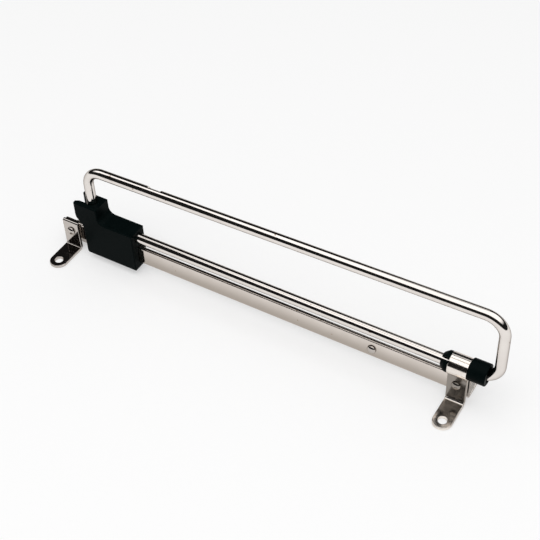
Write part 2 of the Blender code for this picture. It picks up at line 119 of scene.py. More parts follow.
class NodeSheet:
    """Nodes of a material or of the room, with short calls to add and join them."""

    def __init__(self, owner: Material | World, output: str = "ShaderNodeOutputMaterial") -> None:
        """Start with an output node alone.

        Args:
            owner: Material or world that the nodes belong to.
            output: Blender's name of its output node's type.
        """
        owner.use_nodes = True
        self.tree = owner.node_tree
        self.tree.nodes.clear()
        self.surface = self.add(output).inputs["Surface"]

    def add(self, kind: str, **settings: object) -> Node:
        """Add a node.

        Args:
            kind: Blender's name of the node type.
            **settings: Properties of the node.

        Returns:
            The new node.
        """
        node = self.tree.nodes.new(kind)
        for key, value in settings.items():
            setattr(node, key, value)
        return node

    def join(self, source: NodeSocket | float | Colour, target: NodeSocket) -> None:
        """Link a socket to another, or set a constant on it.

        Args:
            source: Socket or constant to read.
            target: Socket that reads it.
        """
        if isinstance(source, NodeSocket):
            self.tree.links.new(source, target)
        else:
            target.default_value = source

    def object_noise(
        self, scale: float, detail: float, stretch: tuple[float, float, float] = NO_STRETCH
    ) -> NodeSocket:
        """Add a noise on Object coordinates.

        Args:
            scale: Cells per metre.
            detail: Octaves of finer noise.
            stretch: Scale along each axis, to draw the cells out into streaks.

        Returns:
            Socket of the noise.
        """
        coordinates = self.add("ShaderNodeTexCoord")
        mapping = self.add("ShaderNodeMapping")
        mapping.inputs["Scale"].default_value = stretch
        noise = self.add("ShaderNodeTexNoise")
        noise.inputs["Scale"].default_value = scale
        noise.inputs["Detail"].default_value = detail
        self.join(coordinates.outputs["Object"], mapping.inputs["Vector"])
        self.join(mapping.outputs["Vector"], noise.inputs["Vector"])
        return noise.outputs["Fac"]

    def object_axis(self, axis: str) -> NodeSocket:
        """Add one of the Object coordinates.

        Args:
            axis: X, Y or Z.

        Returns:
            Socket of the coordinate.
        """
        coordinates = self.add("ShaderNodeTexCoord")
        parts = self.add("ShaderNodeSeparateXYZ")
        self.join(coordinates.outputs["Object"], parts.inputs["Vector"])
        return parts.outputs[axis]

    def maths(self, operation: str, first: NodeSocket, second: NodeSocket | float) -> NodeSocket:
        """Work out a value from two others.

        Args:
            operation: Blender's name of the operation.
            first: Socket of the first value.
            second: Socket of the second value, or a constant.

        Returns:
            Socket of the result.
        """
        node = self.add("ShaderNodeMath", operation=operation)
        self.join(first, node.inputs[0])
        self.join(second, node.inputs[1])
        return node.outputs["Value"]

    def stepped(self, source: NodeSocket, start: float, end: float) -> NodeSocket:
        """Climb smoothly from 0 to 1 between two values.

        Args:
            source: Value to read.
            start: Value at which the result is 0.
            end: Value at which the result is 1.

        Returns:
            Socket of the result.
        """
        climb = self.add("ShaderNodeMapRange", interpolation_type="SMOOTHSTEP")
        climb.inputs["From Min"].default_value = start
        climb.inputs["From Max"].default_value = end
        self.join(source, climb.inputs["Value"])
        return climb.outputs["Result"]

    def ranged(self, source: NodeSocket, low: float, high: float) -> NodeSocket:
        """Map the middle of a noise onto a range.

        Args:
            source: Noise value, mostly between NOISE_LOW and NOISE_HIGH.
            low: Result at the low end.
            high: Result at the high end.

        Returns:
            Socket of the mapped value.
        """
        scale = self.add("ShaderNodeMapRange")
        scale.inputs["From Min"].default_value = NOISE_LOW
        scale.inputs["From Max"].default_value = NOISE_HIGH
        scale.inputs["To Min"].default_value = low
        scale.inputs["To Max"].default_value = high
        self.join(source, scale.inputs["Value"])
        return scale.outputs["Result"]

    def blend(self, first: NodeSocket | Colour, second: Colour, share: NodeSocket) -> NodeSocket:
        """Mix two colours.

        Args:
            first: Colour, or socket of one, where the share is 0.
            second: Colour where the share is 1.
            share: Socket of the second colour's share.

        Returns:
            Socket of the mixed colour.
        """
        mix = self.add("ShaderNodeMix", data_type="RGBA")
        self.join(first, mix.inputs["A"])
        self.join(second, mix.inputs["B"])
        self.join(share, mix.inputs["Factor"])
        return mix.outputs["Result"]

    def bumped(self, height: NodeSocket, strength: float, depth: float) -> NodeSocket:
        """Turn a noise into bumps of the surface.

        Args:
            height: Socket of the noise.
            strength: Share of the bumps that shows.
            depth: Depth of the bumps.

        Returns:
            Socket of the bumped normal.
        """
        bump = self.add("ShaderNodeBump")
        bump.inputs["Strength"].default_value = strength
        bump.inputs["Distance"].default_value = depth
        self.join(height, bump.inputs["Height"])
        return bump.outputs["Normal"]

    def principled(self, colour: NodeSocket, roughness: NodeSocket, normal: NodeSocket) -> Node:
        """Make the surface's shader.

        Args:
            colour: Socket of its colour.
            roughness: Socket of its roughness.
            normal: Socket of its bumped normal.

        Returns:
            The shader, for its other sockets.
        """
        shader = self.add("ShaderNodeBsdfPrincipled")
        self.join(colour, shader.inputs["Base Color"])
        self.join(roughness, shader.inputs["Roughness"])
        self.join(normal, shader.inputs["Normal"])
        self.join(shader.outputs["BSDF"], self.surface)
        return shader

    def glow(self, strength: NodeSocket) -> NodeSocket:
        """Add a white glow.

        Args:
            strength: Socket of its strength.

        Returns:
            Socket of its shader.
        """
        emission = self.add("ShaderNodeEmission")
        self.join(strength, emission.inputs["Strength"])
        return emission.outputs["Emission"]


@dataclass(frozen=True)
class PlatedSteel:
    """Nickel plate over steel, with clouding, tarnish specks, draw marks, a slightly wavy surface and a band
    of painted shade.
    """

    name: str
    tint: Colour
    cloud_tint: Colour
    cloud_scale: float
    speck_tint: Colour
    speck_scale: float
    speck_start: float
    # Painted shade: a darker tint laid over the plate between two heights, in place of the shade that the
    # metal mirrors.
    painted_shade_tint: Colour
    painted_shade_ends: tuple[float, float]
    roughness: tuple[float, float]
    streak_stretch: tuple[float, float, float]
    wave_scale: float
    wave_strength: float
    # Heights over which the painted shade fades in from below.
    painted_shade_begins: tuple[float, float] = (-0.002, -0.001)
    rim_tint: Colour = (0.60, 0.56, 0.52, 1.0)
    streak_scale: float = 400.0
    wave_height: float = 0.0002
    cloud_detail: float = 4.0
    streak_detail: float = 3.0
    speck_detail: float = 2.0
    wave_detail: float = 1.0
    speck_edge: float = 0.03

    def material(self) -> Material:
        """Build the plated finish.

        Returns:
            The material.
        """
        material = bpy.data.materials.new(self.name)
        sheet = NodeSheet(material)
        streaks = sheet.object_noise(self.streak_scale, self.streak_detail, self.streak_stretch)
        waves = sheet.object_noise(self.wave_scale, self.wave_detail)
        shader = sheet.principled(
            self.colour(sheet),
            sheet.ranged(streaks, *self.roughness),
            sheet.bumped(waves, self.wave_strength, self.wave_height),
        )
        shader.inputs["Metallic"].default_value = 1.0
        shader.inputs["Specular Tint"].default_value = self.rim_tint
        return material

    def colour(self, sheet: NodeSheet) -> NodeSocket:
        """Mix the plate's clouds, its band of painted shade between two heights and its tarnish specks.

        Args:
            sheet: Nodes of the finish.

        Returns:
            Socket of the colour.
        """
        clouds = sheet.object_noise(self.cloud_scale, self.cloud_detail)
        cloudy = sheet.blend(self.tint, self.cloud_tint, sheet.ranged(clouds, 0.0, 1.0))
        height = sheet.object_axis("Z")
        # Painted shade: the plate takes the darker tint between the two heights and fades out upward.
        begun = sheet.stepped(height, *self.painted_shade_begins)
        ending = sheet.stepped(height, *reversed(self.painted_shade_ends))
        shaded = sheet.blend(cloudy, self.painted_shade_tint, sheet.maths("MULTIPLY", begun, ending))
        specks = sheet.object_noise(self.speck_scale, self.speck_detail)
        share = sheet.stepped(specks, self.speck_start, self.speck_start + self.speck_edge)
        return sheet.blend(shaded, self.speck_tint, share)


@dataclass(frozen=True)
class MouldedPlastic:
    """Black moulded plastic with a fine spark-eroded texture and rubbed, slightly paler patches."""

    name: str
    tint: Colour
    worn_tint: Colour
    roughness: tuple[float, float]
    gloss: float
    grain_scale: float
    grain_height: float
    grain_strength: float
    patch_scale: float
    grain_detail: float = 2.0
    patch_detail: float = 3.0

    def material(self) -> Material:
        """Build the plastic finish.

        Returns:
            The material.
        """
        material = bpy.data.materials.new(self.name)
        sheet = NodeSheet(material)
        patches = sheet.object_noise(self.patch_scale, self.patch_detail)
        grain = sheet.object_noise(self.grain_scale, self.grain_detail)
        shader = sheet.principled(
            sheet.blend(self.tint, self.worn_tint, sheet.ranged(patches, 0.0, 1.0)),
            sheet.ranged(patches, *self.roughness),
            sheet.bumped(grain, self.grain_strength, self.grain_height),
        )
        shader.inputs["Specular IOR Level"].default_value = self.gloss
        return material


ROD_PLATE = PlatedSteel(
    name="bright_nickel_rod",
    tint=(0.83, 0.785, 0.745, 1.0),
    cloud_tint=(0.75, 0.70, 0.66, 1.0),
    cloud_scale=45.0,
    speck_tint=(0.30, 0.22, 0.17, 1.0),
    speck_scale=260.0,
    speck_start=0.71,
    # Painted shade: the rod darkens below 20 mm and gets its tint back by 70 mm up.
    painted_shade_tint=(0.78, 0.73, 0.69, 1.0),
    painted_shade_ends=(0.020, 0.070),
    rim_tint=(0.30, 0.28, 0.26, 1.0),
    roughness=(0.04, 0.09),
    streak_scale=500.0,
    streak_stretch=(0.05, 1.0, 1.0),
    wave_scale=90.0,
    wave_strength=0.05,
)
BAR_PLATE = PlatedSteel(
    name="polished_nickel_bar",
    tint=(0.74, 0.68, 0.63, 1.0),
    cloud_tint=(0.68, 0.62, 0.57, 1.0),
    cloud_scale=60.0,
    speck_tint=(0.40, 0.33, 0.27, 1.0),
    speck_scale=240.0,
    speck_start=0.73,
    # Painted shade: the bar's face darkens toward its lower edge, and its bottom rounding stays bright.
    painted_shade_tint=(0.44, 0.39, 0.345, 1.0),
    painted_shade_begins=(0.0088, 0.0102),
    painted_shade_ends=(0.0095, 0.0235),
    roughness=(0.05, 0.10),
    streak_stretch=(0.05, 1.0, 1.0),
    wave_scale=120.0,
    wave_strength=0.04,
)
STRIP_PLATE = PlatedSteel(
    name="polished_nickel_strip",
    tint=(0.61, 0.567, 0.532, 1.0),
    cloud_tint=(0.50, 0.461, 0.429, 1.0),
    cloud_scale=110.0,
    speck_tint=(0.38, 0.31, 0.25, 1.0),
    speck_scale=300.0,
    speck_start=0.73,
    # Painted shade: the feet and the low uprights darken below 20 mm up.
    painted_shade_tint=(0.55, 0.509, 0.477, 1.0),
    painted_shade_ends=(0.002, 0.020),
    roughness=(0.07, 0.13),
    streak_stretch=(0.2, 1.0, 1.0),
    wave_scale=120.0,
    wave_strength=0.05,
)
SADDLE_PLATE = PlatedSteel(
    name="satin_nickel_saddle",
    tint=(0.91, 0.86, 0.81, 1.0),
    cloud_tint=(0.78, 0.72, 0.66, 1.0),
    cloud_scale=170.0,
    speck_tint=(0.26, 0.20, 0.15, 1.0),
    speck_scale=320.0,
    speck_start=0.71,
    # Painted shade: the saddle's uprights and its rivet darken from just above the feet to the ring's neck.
    painted_shade_tint=(0.30, 0.274, 0.247, 1.0),
    painted_shade_begins=(0.0028, 0.0045),
    painted_shade_ends=(0.0245, 0.0272),
    roughness=(0.11, 0.19),
    streak_stretch=(1.0, 0.2, 0.2),
    wave_scale=200.0,
    wave_strength=0.08,
)
# Near-black finish of cut faces: a rough cut edge, darkened mostly as painted shade, and darker still low
# down.
CUT_EDGE_SHADE = PlatedSteel(
    name="cut_edge_painted_shade",
    tint=(0.024, 0.023, 0.022, 1.0),
    cloud_tint=(0.016, 0.015, 0.014, 1.0),
    cloud_scale=200.0,
    speck_tint=(0.10, 0.08, 0.065, 1.0),
    speck_scale=320.0,
    speck_start=0.72,
    painted_shade_tint=(0.018, 0.017, 0.016, 1.0),
    painted_shade_ends=(0.0, 0.020),
    rim_tint=(0.30, 0.28, 0.26, 1.0),
    roughness=(0.36, 0.50),
    streak_scale=600.0,
    streak_stretch=(1.0, 1.0, 0.2),
    wave_scale=300.0,
    wave_strength=0.10,
)
BLACK_PLASTIC = MouldedPlastic(
    name="black_moulded_plastic",
    tint=(0.0015, 0.0037, 0.0037, 1.0),
    worn_tint=(0.0021, 0.0047, 0.0047, 1.0),
    roughness=(0.34, 0.46),
    gloss=0.02,
    grain_scale=5200.0,
    grain_height=0.00003,
    grain_strength=0.5,
    patch_scale=140.0,
)


# Mesh tools


def lies_at(part: BMEdge | BMFace, y: float) -> bool:
    """Whether an edge or face lies at one place across the rail."""
    return all(abs(vert.co.y - y) < PLANE_TOLERANCE for vert in part.verts)


def verts_of(edges: Iterable[BMEdge]) -> list[BMVert]:
    """Vertices of some edges, each once."""
    return list({vert: None for edge in edges for vert in edge.verts})


def sharp_edges(work: BMesh) -> list[BMEdge]:
    """Edges whose faces meet at more than the sharp angle."""
    inner = [edge for edge in work.edges if len(edge.link_faces) == 2]
    return [edge for edge in inner if edge.calc_face_angle() > SHARP_ANGLE]


def round_off(work: BMesh, parts: list[BMEdge] | list[BMVert], size: float, segments: int) -> None:
    """Round some edges, or some corners of a flat outline.

    Args:
        work: Mesh that is being shaped.
        parts: Edges or corners to round.
        size: Distance from the edge or corner to the start of its rounding.
        segments: Facets across the rounding.
    """
    bmesh.ops.bevel(
        work,
        geom=parts,
        offset=size,
        segments=segments,
        profile=ROUND_PROFILE,
        affect="EDGES" if isinstance(parts[0], BMEdge) else "VERTICES",
        material=-1,
        clamp_overlap=True,
    )


def line(work: BMesh, points: Iterable[Vector]) -> list[BMVert]:
    """Lay a line of edges through a few points.

    Args:
        work: Mesh that is being shaped.
        points: Points in order.

    Returns:
        The points' vertices.
    """
    verts = [work.verts.new(point) for point in points]
    for first, second in zip(verts, verts[1:]):
        work.edges.new((first, second))
    return verts


def filled(work: BMesh, points: Iterable[Vector]) -> list[BMVert]:
    """Lay a flat face between a few corners.

    Args:
        work: Mesh that is being shaped.
        points: Corners in order.

    Returns:
        The corners' vertices.
    """
    corners = line(work, points)
    work.edges.new((corners[-1], corners[0]))
    work.faces.new(corners)
    return corners


def extruded(work: BMesh, step: Vector) -> None:
    """Give a flat sheet of faces its depth.

    Args:
        work: Mesh that holds the sheet alone.
        step: Depth and direction.
    """
    made = bmesh.ops.extrude_face_region(work, geom=work.faces[:])
    moved = [item for item in made["geom"] if isinstance(item, BMVert)]
    bmesh.ops.translate(work, vec=step, verts=moved)
    bmesh.ops.recalc_face_normals(work, faces=work.faces[:])


def full_turn(work: BMesh, centre: Vector, axis: Vector, steps: int) -> None:
    """Turn an outline about an axis into a ring or knob.

    Args:
        work: Mesh that holds the outline alone.
        centre: Point on the axis.
        axis: Direction of the axis.
        steps: Facets round the axis.
    """
    bmesh.ops.spin(
        work,
        geom=work.verts[:] + work.edges[:],
        cent=centre,
        axis=axis,
        angle=2 * math.pi,
        steps=steps,
        use_merge=True,
    )
    bmesh.ops.remove_doubles(work, verts=work.verts[:], dist=MERGE_DISTANCE)
    bmesh.ops.recalc_face_normals(work, faces=work.faces[:])


class Sweep:
    """A loop of edges that is drawn along straight runs and bends, leaving its surface behind."""

    def __init__(self, work: BMesh, start: list[BMEdge]) -> None:
        """Take hold of the loop.

        Args:
            work: Mesh that is being shaped.
            start: Edges of the loop.
        """
        self.work = work
        self.edges = list(start)

    def extrude(self) -> list[BMVert]:
        """Extrude the loop in place and take hold of its new end.

        Returns:
            Vertices of the new end.
        """
        made = bmesh.ops.extrude_edge_only(self.work, edges=self.edges)["geom"]
        moved = [item for item in made if isinstance(item, BMVert)]
        ends = set(moved)
        self.edges = [item for item in made if isinstance(item, BMEdge) and set(item.verts) <= ends]
        return moved

    def run(self, step: Vector) -> None:
        """Draw the loop straight on.

        Args:
            step: Distance and direction.
        """
        bmesh.ops.translate(self.work, vec=step, verts=self.extrude())

    def bend(self, centre: Vector, axis: Vector, angle: float, steps: int) -> None:
        """Draw the loop round a bend.

        Args:
            centre: Point on the bend's axis.
            axis: Direction of the bend's axis.
            angle: Turn about the axis, by the right-hand rule.
            steps: Facets along the bend.
        """
        turn = Matrix.Rotation(angle / steps, 3, axis)
        for _ in range(steps):
            bmesh.ops.rotate(self.work, cent=centre, matrix=turn, verts=self.extrude())

    def close(self) -> None:
        """Join the loop's last place to its first and turn all faces outwards."""
        bmesh.ops.remove_doubles(self.work, verts=self.work.verts[:], dist=PLANE_TOLERANCE)
        bmesh.ops.recalc_face_normals(self.work, faces=self.work.faces[:])


def as_object(name: str, work: BMesh) -> Object:
    """Put a shaped mesh into the scene.

    Args:
        name: Name of the object.
        work: Finished mesh, which is freed.

    Returns:
        The new object, at the origin.
    """
    mesh = bpy.data.meshes.new(name)
    work.to_mesh(mesh)
    work.free()
    item = bpy.data.objects.new(name, mesh)
    bpy.context.scene.collection.objects.link(item)
    return item


def carve(target: Object, cutter: BMesh) -> None:
    """Take a cutter's solid away from an object.

    Args:
        target: Object to cut.
        cutter: Closed mesh, which is freed.
    """
    holder = as_object("cutter", cutter)
    modifier = target.modifiers.new("cut", "BOOLEAN")
    modifier.operation = "DIFFERENCE"
    modifier.solver = "EXACT"
    modifier.object = holder
    graph = bpy.context.evaluated_depsgraph_get()
    carved = bpy.data.meshes.new_from_object(target.evaluated_get(graph))
    target.modifiers.clear()
    plain = target.data
    target.data = carved
    bpy.data.meshes.remove(plain)
    bpy.data.objects.remove(holder)


def block_cutter(low: Vector, high: Vector) -> BMesh:
    """Box between two corners.

    Args:
        low: Lowest corner.
        high: Highest corner.

    Returns:
        The box.
    """
    work = bmesh.new()
    place = Matrix.Translation((low + high) / 2) @ Matrix.Diagonal((high - low).to_4d())
    bmesh.ops.create_cube(work, size=1.0, matrix=place)
    return work


def pin_cutter(centre: Vector, radius: float, length: float) -> BMesh:
    """Cylinder across the rail.

    Args:
        centre: Middle of the cylinder.
        radius: Its radius.
        length: Its length along Y.

    Returns:
        The cylinder.
    """
    work = bmesh.new()
    place = Matrix.Translation(centre) @ Matrix.Rotation(math.pi / 2, 4, "X")
    bmesh.ops.create_cone(
        work, cap_ends=True, segments=PIN_SIDES, radius1=radius, radius2=radius, depth=length, matrix=place
    )
    return work


# Shared places


@dataclass(frozen=True)
class RailPlan:
    """Places and stock sizes that the sub-assemblies share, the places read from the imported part."""

    front_x: float
    rear_x: float
    stop_x: float
    strip_width: float
    bar_low: Vector
    bar_high: Vector
    rod_radius: float
    rod_axis_z: float
    rear_leg_x: float
    front_leg_x: float
    seat_gap: float = 0.0002
    slide_gap: float = 0.0003
    bore_gap: float = 0.0002
    bend_radius: float = 0.0130
    strip_thickness: float = 0.0022
    rivet_hole_radius: float = 0.0022
    front_rivet_rise: float = 0.0011
    sleeve_wall: float = 0.0011

    @classmethod
    def from_frame(cls) -> RailPlan:
        """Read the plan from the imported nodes.

        Returns:
            The plan.
        """
        bar_low, bar_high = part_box("carrier_bar")
        rear_low, rear_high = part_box("rear_bracket_near")
        front_low, front_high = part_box("front_saddle_bracket")
        stop_low, stop_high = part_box("stop_rivet")
        loop_low, loop_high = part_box("rod_loop")
        rod_radius = loop_high.y
        return cls(
            front_x=(front_low.x + front_high.x) / 2,
            rear_x=(rear_low.x + rear_high.x) / 2,
            stop_x=(stop_low.x + stop_high.x) / 2,
            strip_width=rear_high.x - rear_low.x,
            bar_low=bar_low,
            bar_high=bar_high,
            rod_radius=rod_radius,
            rod_axis_z=loop_low.z + rod_radius,
            rear_leg_x=loop_low.x + rod_radius,
            front_leg_x=loop_high.x - rod_radius,
        )

    @property
    def bar_middle_z(self) -> float:
        """Height of the bar's middle."""
        return (self.bar_low.z + self.bar_high.z) / 2

    @property
    def front_rivet_z(self) -> float:
        """Height of the rivet in the saddle."""
        return self.bar_middle_z + self.front_rivet_rise

    @property
    def bore_radius(self) -> float:
        """Radius of the guide bush's bore."""
        return self.rod_radius + self.bore_gap

    @property
    def sleeve_radius(self) -> float:
        """Outer radius of the guide bush's sleeve."""
        return self.bore_radius + self.sleeve_wall

    @property
    def upright_y(self) -> float:
        """Distance from the rail's plane to the middle of an upright's thickness."""
        return self.bar_high.y + self.seat_gap + self.strip_thickness / 2

    @property
    def rivet_grip(self) -> float:
        """Distance between the heads of a rivet through two uprights."""
        return 2 * (self.upright_y + self.strip_thickness / 2 + self.seat_gap)


@dataclass
class SubAssembly:
    """Base of the rail's sub-assemblies, which hands finished pieces over to the frame."""

    plan: RailPlan

    def hand_over(
        self,
        item: Object,
        node: str,
        body: Body,
        slot: Slot,
        finish: Material,
        crease: float,
    ) -> None:
        """Dress a piece and let it stand for its node.

        Args:
            item: Finished object.
            node: Node that the piece stands for.
            body: Moving group that it rides on.
            slot: Finish slot of the record; not used.
            finish: Material of the piece.
            crease: Angle in radians above which an edge stays crisp.
        """
        item.data.materials.clear()
        item.data.materials.append(finish)
        item.data.shade_smooth()
        item.data.set_sharp_from_angle(angle=crease)
        even = item.modifiers.new("even_shading", "WEIGHTED_NORMAL")
        even.keep_sharp = True
        even.weight = STRONG_FACE_WEIGHT
        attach(item, body.value)
        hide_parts(node)
        LOG.info("%s stands for %s with %d faces", item.name, node, len(item.data.polygons))

    def dress_ends(self, item: Object, low: float, high: float, finish: Material, base: float = 0.0) -> None:
        """Give a dressed piece's two flat ends along the rail their own finish.

        Args:
            item: Dressed piece.
            low: Place of its rear end along the rail.
            high: Place of its front end.
            finish: Finish of the ends.
            base: Height above which the ends take it.
        """
        item.data.materials.append(finish)
        for face in item.data.polygons:
            between = low + PLANE_TOLERANCE < face.center.x < high - PLANE_TOLERANCE
            if not between and face.center.z > base:
                face.material_index = 1


@dataclass
class RodLoop(SubAssembly):
    """Closed loop of round rod whose upper run climbs a little toward the pull end."""

    rear_height: float = 0.0460
    front_height: float = 0.0513
    flat_length: float = 0.0095
    flat_depth: float = 0.0009
    flat_setback: float = 0.0549
    flat_ramp: float = 0.0003
    flat_tilt: float = math.radians(42.0)
    sides: int = 72
    bend_steps: int = 28

    def corners(self) -> list[Vector]:
        """Sharp corners of the loop's middle line, from the lower front one round to the lower rear one."""
        plan = self.plan
        low = plan.rod_axis_z
        return [
            Vector((plan.front_leg_x, 0.0, low)),
            Vector((plan.front_leg_x, 0.0, low + self.front_height)),
            Vector((plan.rear_leg_x, 0.0, low + self.rear_height)),
            Vector((plan.rear_leg_x, 0.0, low)),
        ]

    def tube(self, radius: float) -> BMesh:
        """Sweep a circle once round the loop.

        Args:
            radius: Radius of the tube.

        Returns:
            The closed tube.
        """
        corners = self.corners()
        lower_front, _, upper_rear, lower_rear = corners
        start = (lower_front + lower_rear) / 2
        work = bmesh.new()
        facing = Matrix.Translation(start) @ Matrix.Rotation(math.pi / 2, 4, "Y")
        bmesh.ops.create_circle(work, segments=self.sides, radius=radius, matrix=facing)
        sweep = Sweep(work, work.edges[:])
        place = start
        for index, corner in enumerate(corners):
            following = corners[(index + 1) % len(corners)]
            arriving = (corner - corners[index - 1]).normalized()
            leaving = (following - corner).normalized()
            turn = arriving.angle(leaving)
            tangent = self.plan.bend_radius * math.tan(turn / 2)
            bend_start = corner - arriving * tangent
            if corner is upper_rear:
                self.run_over_flat(sweep, place, bend_start)
            else:
                sweep.run(bend_start - place)
            inward = (leaving - arriving).normalized()
            centre = corner + inward * self.plan.bend_radius / math.cos(turn / 2)
            sweep.bend(centre, -ACROSS, turn, self.bend_steps)
            place = corner + leaving * tangent
        sweep.run(start - place)
        sweep.close()
        return work

    def run_over_flat(self, sweep: Sweep, place: Vector, end: Vector) -> None:
        """Draw the upper run with a ring at each end of the weld's flat.

        Args:
            sweep: Sweep that is at the start of the upper run.
            place: Middle of the tube there.
            end: Middle of the tube at the end of the upper run.
        """
        along = (end - place).normalized()
        half = self.flat_length / 2
        for offset in (half + self.flat_ramp, half, -half, -half - self.flat_ramp):
            stop_x = self.plan.rear_leg_x + self.flat_setback + offset
            stop = place + along * (stop_x - place.x) / along.x
            sweep.run(stop - place)
            place = stop
        sweep.run(end - place)

    def press_flat(self, work: BMesh) -> None:
        """Level the upper run where its weld was ground off.

        Args:
            work: The rod's tube.
        """
        _, upper_front, upper_rear, _ = self.corners()
        along = (upper_front - upper_rear).normalized()
        facing = Matrix.Rotation(-self.flat_tilt, 3, ALONG) @ UP
        middle = upper_rear + along * self.flat_setback
        reach = self.plan.rod_radius - self.flat_depth
        for vert in work.verts:
            offset = vert.co - middle
            height = offset.dot(facing)
            if abs(offset.dot(along)) < self.flat_length / 2 + PLANE_TOLERANCE and height > reach:
                vert.co -= facing * (height - reach)

    def build(self, finish: Material) -> None:
        """Model and dress the loop.

        Args:
            finish: Plated finish of the rod.
        """
        work = self.tube(self.plan.rod_radius)
        self.press_flat(work)
        item = as_object("bright_rod_loop", work)
        self.hand_over(item, "rod_loop", Body.SLIDING, Slot.ROD, finish, STEEL_CREASE)


@dataclass
class CarrierBar(SubAssembly):
    """Flat bar with well-rounded long edges that the loop's block runs along."""

    edge_rounding: float = 0.0010
    end_rounding: float = 0.0003
    edge_segments: int = 10
    end_segments: int = 3

    def build(self, finish: Material, cut_shade_finish: Material) -> None:
        """Model and dress the bar.

        Args:
            finish: Plated finish of the bar, with its band of painted shade.
            cut_shade_finish: Finish of its cut ends, darkened as painted shade.
        """
        plan = self.plan
        low = plan.bar_low
        high = plan.bar_high
        ring = ((low.y, low.z), (high.y, low.z), (high.y, high.z), (low.y, high.z))
        work = bmesh.new()
        corners = filled(work, [Vector((low.x, y, z)) for y, z in ring])
        round_off(work, corners, self.edge_rounding, self.edge_segments)
        extruded(work, ALONG * (high.x - low.x))
        round_off(work, sharp_edges(work), self.end_rounding, self.end_segments)
        item = as_object("plated_carrier_bar", work)
        rivet_places = (
            (plan.rear_x, plan.bar_middle_z),
            (plan.front_x, plan.front_rivet_z),
            (plan.stop_x, plan.bar_middle_z),
        )
        depth = 2 * (high.y - low.y)
        for x, z in rivet_places:
            carve(item, pin_cutter(Vector((x, 0.0, z)), plan.rivet_hole_radius, depth))
        self.hand_over(item, "carrier_bar", Body.FIXED, Slot.STRIP, finish, STEEL_CREASE)
        self.dress_ends(item, low.x, high.x, cut_shade_finish)


@dataclass
class StripBracket(SubAssembly):
    """Sizes and steps that every bracket of bent strip shares."""

    hole_reach: float = 0.0216
    hole_radius: float = 0.0029
    hole_rounding: float = 0.0004
    edge_rounding: float = 0.00036
    bend_inner_radius: float = 0.0010
    foot_sides: int = 96
    bend_steps: int = 14
    edge_segments: int = 4
    hole_segments: int = 2

    @property
    def foot_end(self) -> float:
        """Distance from the screw hole to the start of the foot's bend."""
        middle_radius = self.bend_inner_radius + self.plan.strip_thickness / 2
        return self.hole_reach - self.plan.upright_y - middle_radius

    @property
    def upright_start(self) -> float:
        """Height at which the upright leaves the foot's bend."""
        return self.plan.strip_thickness + self.bend_inner_radius

    def flat_foot(self) -> BMesh:
        """Make a flat foot with a round end and a screw hole.

        Returns:
            The foot, with its hole at the origin.
        """
        half_width = self.plan.strip_width / 2
        half_facet = math.pi / self.foot_sides
        turned = Matrix.Rotation(half_facet, 4, "Z")
        work = bmesh.new()
        rim = bmesh.ops.create_circle(
            work, segments=self.foot_sides, radius=half_width / math.cos(half_facet), matrix=turned
        )
        bmesh.ops.create_circle(work, segments=self.foot_sides, radius=self.hole_radius, matrix=turned)
        bmesh.ops.bridge_loops(work, edges=work.edges[:])
        inner_half = [vert for vert in rim["verts"] if vert.co.y > 0]
        bmesh.ops.translate(work, vec=ACROSS * self.foot_end, verts=inner_half)
        bmesh.ops.bisect_plane(
            work,
            geom=work.verts[:] + work.edges[:] + work.faces[:],
            plane_co=ACROSS * self.foot_end,
            plane_no=ACROSS,
            clear_outer=True,
            dist=MERGE_DISTANCE,
        )
        ends = [vert for vert in work.verts if abs(vert.co.y - self.foot_end) < PLANE_TOLERANCE]
        between = [vert for vert in ends if abs(vert.co.x) < half_width - PLANE_TOLERANCE]
        bmesh.ops.dissolve_verts(work, verts=between)
        extruded(work, UP * self.plan.strip_thickness)
        return work

    def foot(self) -> Sweep:
        """Make a foot and bend it up into an upright's start.

        Returns:
            Sweep at the start of the upright, on the near side of the rail's plane.
        """
        work = self.flat_foot()
        self.round_foot(work)
        end_faces = [face for face in work.faces if lies_at(face, self.foot_end)]
        bmesh.ops.delete(work, geom=end_faces, context="FACES")
        bmesh.ops.translate(work, vec=-ACROSS * self.hole_reach, verts=work.verts[:])
        sweep = Sweep(work, [edge for edge in work.edges if edge.is_boundary])
        bend_centre = Vector((0.0, self.foot_end - self.hole_reach, self.upright_start))
        sweep.bend(bend_centre, ALONG, math.pi / 2, self.bend_steps)
        return sweep

    def round_foot(self, work: BMesh) -> None:
        """Round a flat foot's outer edges and the edges of its hole.

        Args:
            work: The flat foot, with its hole at the origin.
        """
        middle = (self.hole_radius + self.plan.strip_width / 2) / 2

        def at_hole(edge: BMEdge) -> bool:
            return all(math.hypot(vert.co.x, vert.co.y) < middle for vert in edge.verts)

        outer = [edge for edge in sharp_edges(work) if not at_hole(edge)]
        rim = [edge for edge in outer if not lies_at(edge, self.foot_end)]
        round_off(work, rim, self.edge_rounding, self.edge_segments)
        hole = [edge for edge in sharp_edges(work) if at_hole(edge)]
        round_off(work, hole, self.hole_rounding, self.hole_segments)

    def drill(self, item: Object, x: float, z: float) -> None:
        """Cut the rivet's hole through the uprights.

        Args:
            item: Bracket to drill.
            x: Place along the rail.
            z: Height of the hole.
        """
        depth = 4 * self.plan.upright_y
        carve(item, pin_cutter(Vector((x, 0.0, z)), self.plan.rivet_hole_radius, depth))


